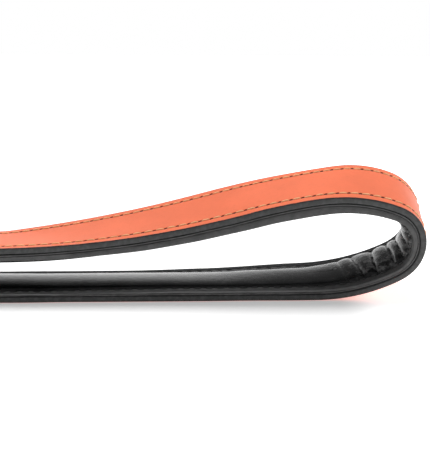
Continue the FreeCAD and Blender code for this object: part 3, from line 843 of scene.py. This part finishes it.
def lining_profile(sizes):
    """Section of the padded lining as (y, depth, part): its face, its edges and its flat back.

    part is below 0.75 where a point moves with the lining's face.
    """
    half = sizes.width / 2 - 0.05 * MM
    back = sizes.strap + sizes.backing
    rounding = 0.32 * MM
    inside = [12.0, 11.4, 10.6, 10.0, 9.6, 9.3, 9.1, 8.9, 8.75, 8.5]
    inside += [8.2, 7.8, 7.3, 6.6, 5.8, 4.9, 4.0, 3.0, 2.0, 1.0]
    edge = []
    for angle in (math.radians(a) for a in (20, 50, 75, 90)):
        y, d = rounding * math.sin(angle), rounding * math.cos(angle)
        edge.append((half - rounding + y, back - rounding + d, 0.5))
    edge.append((half, back + 0.12 * MM, 1.0))
    edge.append((half - 0.15 * MM, back, 1.0))
    face = [(y, back, 0.0) for y in both_ways(inside, MM)]
    bottom = [(y, back, 2.0) for y in (8 * MM, 0.0, -8 * MM)]
    mirrored = [(-y, d, v) for y, d, v in edge[::-1]]
    section = face + edge + bottom + mirrored
    return section + section[:1]


class LEASH_OT_lining(bpy.types.Operator):
    """Padded nappa lining, crowned over its foam and gathered in folds inside the bend"""

    bl_idname = "leash.lining"
    bl_label = "Padded lining"

    def execute(self, context):
        sizes, colours = settings()
        loop = Loop(0.5 * MM)
        start = LINING_START + 0.2 * MM
        end = loop.ends[len(LOOP_BENDS) + 1] - 0.2 * MM
        relief = lining_folds(loop, sizes)
        near_edge, far_edge, crown = (loop.along(stops) for stops in (NEAR_EDGE, FAR_EDGE, CROWN))

        def move(at, y, part):
            if part > 0.75:
                return 0.0
            towards_far = ease((y + 9 * MM) / (18 * MM))
            edge = near_edge(at) + (far_edge(at) - near_edge(at)) * towards_far
            if part > 0.25:
                return edge
            taper = np.sqrt(ease((at - start) / (9 * MM)) * ease((end - at) / (9 * MM)))
            off_seam = abs(y) - pad_edge(loop, at, y) - 0.3 * MM
            crease = 0.30 * MM * np.exp(-((off_seam / (0.35 * MM)) ** 2))
            height = crown(at) * crown_height(pad_share(loop, at, y)) + relief(at, y)
            return edge + height * taper - np.minimum(crease, 0.6 * edge)

        profile = lining_profile(sizes)
        drift = wandering(23, 0.16 * MM)
        rows, uvs = loop_rows(loop, profile, start, end, move, drift)
        uvs[:, :, 1] = [y for y, _, _ in profile]
        piece = skin("padded_lining", rows, uvs, nappa_leather(colours))
        on_leash(piece, "black_nappa", "handle_lining")
        return {"FINISHED"}


class LEASH_OT_foam(bpy.types.Operator):
    """Foam filler under the lining"""

    bl_idname = "leash.foam"
    bl_label = "Foam filler"

    def execute(self, context):
        sizes = settings()[0]
        loop = Loop(1.6 * MM)
        start = LINING_START + 2 * MM
        end = loop.ends[len(LOOP_BENDS) + 1] - 2 * MM
        base = sizes.strap + sizes.backing + 0.05 * MM
        half = 8.0 * MM
        shares = np.linspace(-1, 1, 13)
        top = [(s * half, base + 0.1 * MM + 1.2 * MM * float(crown_height(s)), s * half) for s in shares]
        bottom = [(s * half, base, 0.02) for s in (1.0, 0.0, -1.0)]
        profile = top + bottom + top[:1]
        rows, uvs = loop_rows(loop, profile, start, end)
        piece = skin("foam_filler", rows, uvs, foam_filler())
        on_leash(piece, "foam", "handle_pad")
        return {"FINISHED"}


class LEASH_OT_loop_stitches(bpy.types.Operator):
    """Rows of lock stitches on both faces of the hand loop"""

    bl_idname = "leash.loop_stitches"
    bl_label = "Loop stitches"

    def execute(self, context):
        sizes, colours = settings()
        loop = Loop(0.9 * MM)
        light = sewing_thread("face_thread", tuple(colours.thread_light))
        dark = sewing_thread("lining_thread", tuple(colours.thread_dark))
        on_face = (2 * MM, loop.ends[-1] - 1 * MM)
        on_lining = (LINING_START + 2 * MM, loop.ends[len(LOOP_BENDS) + 1] - 2 * MM)
        for side, sign, pitch, stops in (
            ("near", -1, sizes.pitch_near, NEAR_EDGE),
            ("far", 1, sizes.pitch_far, FAR_EDGE),
        ):
            shape = (pitch * LOOP_STITCH, sizes.thread, sizes.thread * 0.85)
            y = sign * sizes.row
            places = loop_stitches(loop, y, np.zeros_like, pitch, *on_face, STITCH_SINK)
            piece = stitch_row(f"face_stitches_{side}", places, shape, light, slant=0.07)
            on_leash(piece, "thread", f"stitch_row_{side}")
            edge = loop.along(stops)

            def depth(at, edge=edge):
                return sizes.strap + sizes.backing + edge(at)

            y = sign * 9.7 * MM
            places = loop_stitches(loop, y, depth, pitch, *on_lining, -STITCH_SINK)
            piece = stitch_row(f"lining_stitches_{side}", places, shape, dark, slant=-0.07)
            on_leash(piece, "thread")
        return {"FINISHED"}


class LEASH_OT_joint(bpy.types.Operator):
    """Cross seams and rivets where the loop is closed"""

    bl_idname = "leash.joint"
    bl_label = "Joint"

    def execute(self, context):
        colours = settings()[1]
        light = sewing_thread("joint_thread", tuple(colours.thread_light))
        low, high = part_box("joint_stitching")
        pitch = 2.6 * MM
        stitches = []
        for x in (low.x + 0.35 * MM, high.x - 0.35 * MM):
            for k in range(int((high.y - low.y) / pitch) + 1):
                middle = (x, low.y + 0.9 * MM + k * pitch, EXIT_TOP - STITCH_SINK)
                stitches.append((middle, SIDEWAYS, UPWARDS))
        shape = (2.1 * MM, 0.65 * MM, 0.6 * MM)
        piece = stitch_row("joint_threads", zip(*stitches), shape, light, slant=0.08)
        on_leash(piece, "thread", "joint_stitching")
        metal = plated_metal(colours)
        for node in ("joint_rivet_caps", "joint_rivet_posts", "joint_rivet_bases"):
            finish(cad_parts[node], metal)
        return {"FINISHED"}


# ---- the flat strap on the table
def leash_route():
    """The strap's route as control points: from the joint, onto its edge, round the coil and in."""
    # Places along the run and the height of the strap's middle there, in mm.
    run = [(16, 4.4), (32, 6.3), (48, 9.6), (64, 12.0), (80, 12.6)]
    points = [(LEFT, 0.0, EXIT_TOP - 1.55 * MM)]
    points += [(LEFT - x * MM, 0.0, z * MM) for x, z in run]
    on_edge = 12.5 * MM
    outer, inner, curl = 92 * MM, 80 * MM, 30 * MM
    # The smooth curve cuts the corners of its route by these lengths.
    coil_cut, curl_cut = 1.1 * MM, 1.6 * MM
    back = math.sqrt((inner - curl) ** 2 - curl**2)
    finish = math.pi + math.atan2(curl, back)
    sweep = 2 * math.pi + 1.5 * math.pi - finish
    count = 22
    for k in range(count + 1):
        angle = 1.5 * math.pi - sweep * k / count
        radius = outer + (inner - outer) * k / count + coil_cut
        points.append((COIL_X + radius * math.cos(angle), COIL_Y + radius * math.sin(angle), on_edge))
    for k in range(1, 6):
        angle = finish + (math.pi / 2 - finish) * k / 5
        reach = curl + (curl_cut if k < 5 else 0.0)
        x, y = COIL_X - back + reach * math.cos(angle), COIL_Y - curl + reach * math.sin(angle)
        points.append((x, y, on_edge))
    points.append((END_LOW.x, COIL_Y, on_edge))
    return points


def spline_line(points):
    """Points read from the smooth curve through a route."""
    data = bpy.data.curves.new("leash_route", "CURVE")
    data.dimensions = "3D"
    spline = data.splines.new("NURBS")
    spline.points.add(len(points) - 1)
    for target, point in zip(spline.points, points):
        target.co = (*point, 1.0)
    spline.order_u = 3
    spline.use_endpoint_u = True
    spline.resolution_u = 16
    holder = bpy.data.objects.new("leash_route", data)
    mesh = bpy.data.meshes.new_from_object(holder)
    line = np.array([v.co for v in mesh.vertices])
    bpy.data.objects.remove(holder)
    bpy.data.curves.remove(data)
    bpy.data.meshes.remove(mesh)
    return line


def evenly(line, step):
    """The line again with even steps, and the length so far."""
    run = np.concatenate([[0], np.cumsum(np.linalg.norm(np.diff(line, axis=0), axis=1))])
    at = np.linspace(0, run[-1], int(run[-1] / step) + 1)
    return np.stack([np.interp(at, run, line[:, k]) for k in range(3)], axis=1), at


def strap_axes(line, twist):
    """Direction, way across and outward normal at every point, rolled by twist onto its edge."""
    ahead = unit(np.gradient(line, axis=0))
    side = unit(np.cross(np.broadcast_to(UPWARDS, ahead.shape), ahead))
    face_up = np.cross(ahead, side)
    c, s = np.cos(twist)[:, None], np.sin(twist)[:, None]
    outward = face_up * c + side * s
    across = np.cross(outward, ahead)
    return ahead, across, outward


def strap_rows(line, axes, profile, thickness, widths, counts):
    """Points and UVs of a swept strap."""
    ahead, across, outward = axes
    rows = np.zeros((len(line), len(profile), 3))
    uvs = np.zeros((len(line), len(profile), 2))
    for k, (y, depth, v) in enumerate(profile):
        rows[:, k] = line + across * (y * widths)[:, None] + outward * (thickness / 2 - depth)
        uvs[:, k, 0] = counts
        uvs[:, k, 1] = v
    return rows, uvs


class LEASH_OT_leash_strap(bpy.types.Operator):
    """The flat stitched strap from the joint to the sewn end, turned on its edge and coiled"""

    bl_idname = "leash.leash_strap"
    bl_label = "Leash strap"

    def execute(self, context):
        sizes, colours = settings()
        line, at = evenly(spline_line(leash_route()), 1.6 * MM)
        thickness = sizes.strap + sizes.backing
        axes = strap_axes(line, math.pi / 2 * ease((at - 4 * MM) / (84 * MM)))
        half = sizes.width / 2
        widths = 1 - 0.38 * np.clip((at - at[-1] + 16 * MM) / (14 * MM), 0, 1) ** 1.5
        top = row_groove(sizes, 0.20 * MM)
        profile = band_profile(half, 0.0, thickness, 0.45 * MM, face_points(half), top)
        # The edge is a little drawn in where its two layers meet.
        seam = [(y * (1 - 0.022 * (1.9 * MM < d < 2.5 * MM)), d, v) for y, d, v in profile]
        rows, uvs = strap_rows(line, axes, seam, thickness, widths, at / sizes.pitch_near)
        rows[:, :, 2] = np.maximum(rows[:, :, 2], 0.05 * MM)
        piece = skin("leash_strap", rows, uvs, strap_leather(colours, sizes))
        on_leash(piece, "orange_leather", "leash_run", "leash_coil", "leash_tail")
        threads = self.stitches(sizes, colours, line, at, axes, thickness, widths)
        return {"FINISHED"}

    @staticmethod
    def stitches(sizes, colours, line, at, axes, thickness, widths):
        """Rows of stitches on both faces of the flat strap."""
        ahead, across, outward = axes
        pitch = sizes.pitch_near
        middle = (np.arange(1, int((at[-1] - 8 * MM) / pitch)) + 0.5) * pitch

        def pick(part):
            return np.stack([np.interp(middle, at, part[:, k]) for k in range(3)], axis=1)

        centre, way, side, out = pick(line), pick(ahead), pick(across), pick(outward)
        narrow = np.interp(middle, at, widths)[:, None]
        made = []
        for face, sign, tone in (("face", 1.0, colours.thread_light), ("back", -1.0, colours.thread_dark)):
            lift = sign * (thickness / 2 - (0.10 if sign > 0 else 0.02) * MM)
            face_line = centre + out * lift
            rows = [(face_line + side * y * narrow, way, out * sign) for y in (-sizes.row, sizes.row)]
            places = [np.concatenate(part) for part in zip(*rows)]
            material = sewing_thread(f"leash_{face}_thread", tuple(tone))
            shape = (pitch * LEASH_STITCH, sizes.thread, sizes.thread * 0.85)
            piece = stitch_row(f"leash_{face}_stitches", places, shape, material, slant=0.07)
            made.append(on_leash(piece, "thread"))
        return made


class LEASH_OT_sewn_end(bpy.types.Operator):
    """The strap's end, folded round the eye, sewn and riveted"""

    bl_idname = "leash.sewn_end"
    bl_label = "Sewn end"

    def execute(self, context):
        sizes, colours = settings()
        # The eye's bar stands upright in the fold.
        bar_x = END_HIGH.x - 4.2 * MM
        bar_y, middle_z = COIL_Y, (END_LOW.z + END_HIGH.z) / 2
        layer, bore = 2.2 * MM, 1.95 * MM
        reach = bore + layer / 2
        # Along the strap from the bar's axis: where the neck starts, and the strap's cut end.
        neck, back = -10 * MM, END_LOW.x - bar_x + 0.1 * MM
        touch = math.pi / 2 + math.atan2(reach - layer / 2, -neck)
        side = [(back, layer / 2 + 0.05 * MM), (neck, layer / 2 + 0.05 * MM)]
        arc = np.linspace(touch, -touch, 25)
        path = side + [(reach * math.cos(a), reach * math.sin(a)) for a in arc]
        path += [(x, -y) for x, y in side[::-1]]
        line = np.array([(bar_x + x, bar_y + y, middle_z) for x, y in path])
        line, at = evenly(line, 0.6 * MM)
        ahead = unit(np.gradient(line, axis=0))
        across = np.broadcast_to(UPWARDS, ahead.shape)
        outward = np.cross(ahead, across)
        half = (END_HIGH.z - END_LOW.z) / 2
        profile = band_profile(half, 0.0, layer, 0.4 * MM, face_points(half))
        stretched = [(y, d, v * sizes.width / 2 / half) for y, d, v in profile]
        axes = (ahead, across, -outward if outward[0, 1] < 0 else outward)
        widths, counts = np.ones(len(line)), np.full(len(line), 0.5)
        rows, uvs = strap_rows(line, axes, stretched, layer, widths, counts)
        piece = skin("sewn_end", rows, uvs, strap_leather(colours, sizes))
        on_leash(piece, "orange_leather", "end_loop")
        light = sewing_thread("end_thread", tuple(colours.thread_light))
        low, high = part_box("end_stitching")
        stitches = []
        for x in (low.x + 0.35 * MM, high.x - 0.35 * MM):
            for sign in (-1.0, 1.0):
                y = bar_y + sign * (layer + 0.06 * MM)
                for k in range(4):
                    middle = (x, y, low.z + (1.2 + 2.3 * k) * MM)
                    stitches.append((middle, UPWARDS, (0.0, sign, 0.0)))
        shape = (1.9 * MM, 0.6 * MM, 0.55 * MM)
        threads = stitch_row("end_threads", zip(*stitches), shape, light, slant=0.08)
        on_leash(threads, "thread", "end_stitching")
        return {"FINISHED"}


SNAP_NODES = (
    "end_rivet_caps",
    "end_rivet_post",
    "swivel_eye",
    "hook_body",
    "latch_bolt",
    "thumb_stud",
    "bolt_spring",
)


class LEASH_OT_snap(bpy.types.Operator):
    """Plated finish of the swivel bolt snap and the end rivet"""

    bl_idname = "leash.snap"
    bl_label = "Bolt snap"

    def execute(self, context):
        colours = settings()[1]
        metal = plated_metal(colours, "snap_plate")
        bright = plated_metal(colours, "bolt_plate", 1.15)
        for name in SNAP_NODES:
            finish(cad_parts[name], bright if name in ("latch_bolt", "thumb_stud") else metal)
        return {"FINISHED"}


# ---- stage
class LEASH_OT_stage(bpy.types.Operator):
    """White table, soft light and the camera"""

    bl_idname = "leash.stage"
    bl_label = "Stage"

    def execute(self, context):
        deselect()
        bpy.ops.mesh.primitive_plane_add(size=8.0, location=(0, 0, -0.0001))
        floor = context.object
        floor.name = "table_top"
        g = Graph("white_table")
        away = g.add("ShaderNodeVectorMath", {"operation": "LENGTH"}, {0: g.place()}, output=1)
        sideways = g.add("ShaderNodeSeparateXYZ", values={0: g.place()})
        # The table's glow is painted light: it is dim near the leash, rises away from it, and right of x
        # 0.088 to 0.106 m it washes out the shadow and orange bounce under the bend.
        lit = g.step(away, 0.25, 0.80) + g.step(sideways, 0.088, 0.106) * 0.6
        glow = g.mix(lit, (0.35, 0.35, 0.35), (1.0, 1.0, 1.0))
        g.set(Base_Color=(0.90, 0.90, 0.90, 1.0), Roughness=0.9, Specular_IOR_Level=0.05)
        g.set(Emission_Color=glow, Emission_Strength=1.0)
        floor.data.materials.append(g.material)
        self.studio(context)
        for name, place, size, power in (
            ("softbox_top", (0.05, 0.28, 0.85), 0.45, 8.3),
            ("softbox_right", (0.75, 0.20, 0.25), 0.35, 1.0),
        ):
            bpy.ops.object.light_add(type="AREA", location=place)
            lamp = context.object
            lamp.name = name
            lamp.data.size = size
            lamp.data.energy = power
            lamp.visible_camera = False
            lamp.visible_glossy = name != "softbox_top"
            aim = Vector((0.0, 0.0, 0.02)) - lamp.location
            lamp.rotation_euler = aim.to_track_quat("-Z", "Y").to_euler()
        context.scene.view_settings.view_transform = "Standard"
        self.camera(context)
        return {"FINISHED"}

    @staticmethod
    def studio(context):
        """White backdrop low behind, dim room elsewhere, and plain white to look at."""
        g = Graph("studio", world=True)
        towards = g.add("ShaderNodeTexCoord")
        split = g.add("ShaderNodeSeparateXYZ", values={0: towards})
        back = Wire(g, split.socket.node.outputs[1])
        high = Wire(g, split.socket.node.outputs[2])
        tent = 0.20 + g.step(back - high * 1.25, 0.10, 0.85) * 1.55
        seen = g.add("ShaderNodeLightPath")
        g.put(g.shader.inputs["Strength"], tent * (1 - seen) + seen)
        g.put(g.shader.inputs["Color"], (1.0, 1.0, 1.0, 1.0))
        context.scene.world = g.material

    @staticmethod
    def camera(context):
        """Camera a little above the table, square to the loop's near edge."""
        yaw, drop, roll = math.radians(-2.41), math.radians(15.64), math.radians(0.40)
        right = Vector((math.cos(yaw), math.sin(yaw), 0.0))
        ahead = Vector((-math.sin(yaw) * math.cos(drop), math.cos(yaw) * math.cos(drop), -math.sin(drop)))
        up = right.cross(ahead)
        tilted = right * math.cos(roll) + up * math.sin(roll)
        upright = tilted.cross(ahead)
        data = bpy.data.cameras.new("camera")
        data.lens = 53.28
        data.sensor_width = 36.0
        data.clip_start = 0.01
        camera = bpy.data.objects.new("camera", data)
        context.scene.collection.objects.link(camera)
        turn = Matrix((tilted, upright, -ahead)).transposed()
        camera.matrix_world = Matrix.Translation((0.03526, -0.2414, 0.0877)) @ turn.to_4x4()
        context.scene.camera = camera


# ---- panel and registration
OPERATORS = (
    LEASH_OT_stage,
    LEASH_OT_outer_strap,
    LEASH_OT_middle_layer,
    LEASH_OT_foam,
    LEASH_OT_lining,
    LEASH_OT_loop_stitches,
    LEASH_OT_joint,
    LEASH_OT_snap,
    LEASH_OT_sewn_end,
    LEASH_OT_leash_strap,
)


class LEASH_PT_panel(bpy.types.Panel):
    """Lists the leash's pieces"""

    bl_idname = "LEASH_PT_panel"
    bl_label = "Training Leash"
    bl_space_type = "VIEW_3D"
    bl_region_type = "UI"
    bl_category = "Leash"

    def draw(self, context):
        for group in (context.scene.leash_sizes, context.scene.leash_colours):
            for name in group.__annotations__:
                self.layout.prop(group, name)
        for operator in OPERATORS:
            self.layout.operator(operator.bl_idname)


CLASSES = (LeashSizes, LeashColours, *OPERATORS, LEASH_PT_panel)


def register():
    """Registers the add-on's classes and settings."""
    for cls in CLASSES:
        bpy.utils.register_class(cls)
    bpy.types.Scene.leash_sizes = PointerProperty(type=LeashSizes)
    bpy.types.Scene.leash_colours = PointerProperty(type=LeashColours)


def unregister():
    """Removes the add-on's classes and settings."""
    del bpy.types.Scene.leash_colours
    del bpy.types.Scene.leash_sizes
    for cls in reversed(CLASSES):
        bpy.utils.unregister_class(cls)


def main():
    """Builds the leash."""
    register()
    for operator in OPERATORS:
        group, name = operator.bl_idname.split(".")
        getattr(getattr(bpy.ops, group), name)()


if __name__ == "__main__":
    main()
